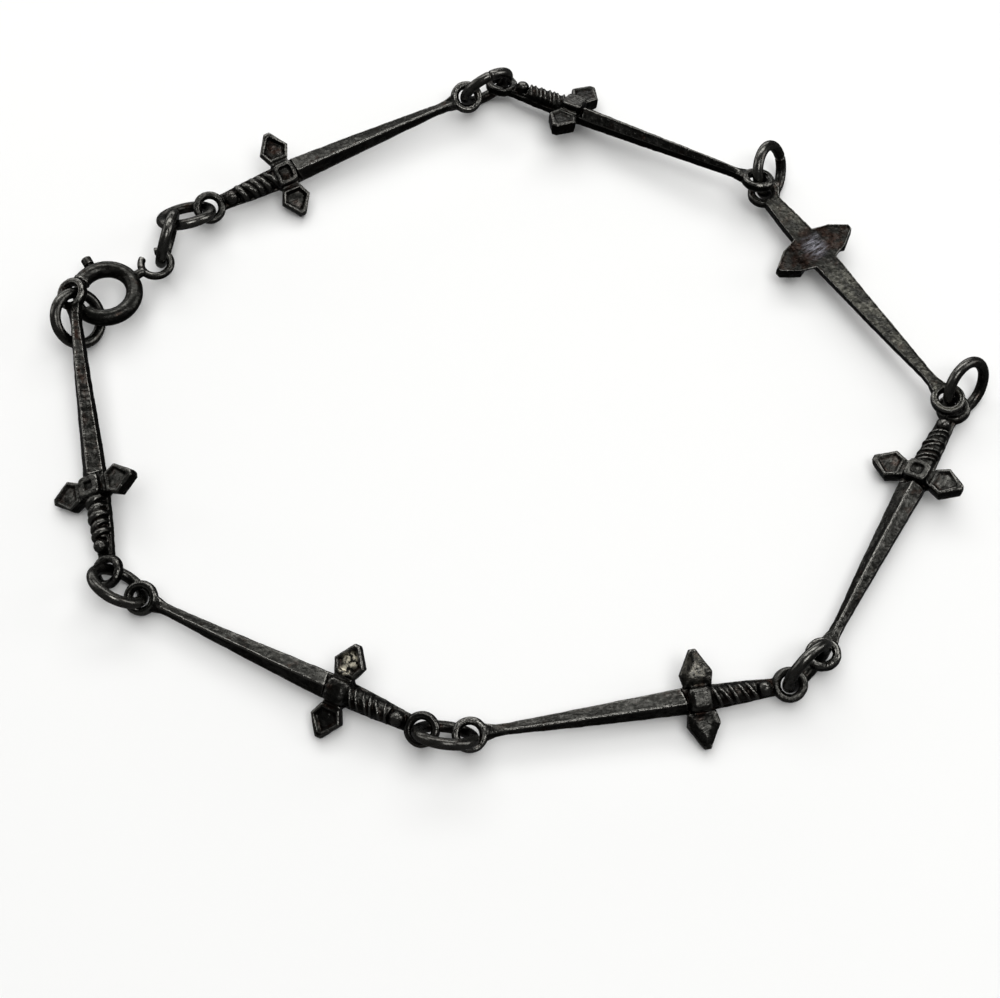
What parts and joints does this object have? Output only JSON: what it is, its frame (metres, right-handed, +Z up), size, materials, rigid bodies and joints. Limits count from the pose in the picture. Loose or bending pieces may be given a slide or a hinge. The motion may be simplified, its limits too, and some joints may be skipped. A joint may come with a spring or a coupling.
{
  "type": "chain link bracelet",
  "caption": "Closed chain bracelet of cast sword shaped links joined by round wire jump rings, with a sprung ring clasp.",
  "frame": {"origin": "centre of the bracelet's bounding box on the surface that it lies on", "axes": "+Z up from that surface, +X along the longer way of the loop, -Y towards the viewer of the picture"},
  "size_m": [0.0686, 0.0571, 0.0047],
  "materials": {
    "cast_silver": "cast silver, blackened, worn bright on its edges",
    "ring_wire": "drawn silver wire, blackened",
    "clasp_silver": "silver tube, blackened, smooth",
    "bolt_wire": "silver wire, blackened, smooth"
  },
  "bodies": {
    "chain": {"sword_1": "cast_silver", "sword_2": "cast_silver", "sword_3": "cast_silver", "sword_4": "cast_silver", "sword_5": "cast_silver", "sword_6": "cast_silver", "sword_7": "cast_silver", "ring_1_2": "ring_wire", "ring_2_3": "ring_wire", "ring_3_4": "ring_wire", "ring_4_5": "ring_wire", "ring_5_6": "ring_wire", "ring_6_7": "ring_wire", "ring_7_clasp": "ring_wire", "ring_1_end": "ring_wire", "ring_clasp_end": "ring_wire", "clasp_body": "clasp_silver"},
    "bolt": {"clasp_bolt": "bolt_wire"}
  },
  "joints": [
    {"name": "bolt_slide_round", "type": "hinge", "parent": "chain", "child": "bolt", "pos_m": [-0.03069, 0.00767, 0.0021], "axis": [-0.025, -0.0148, -0.9996], "range_deg": [0, 50], "stiffness_Nm_per_rad": 0.0004, "springref_deg": -11.46}
  ]
}
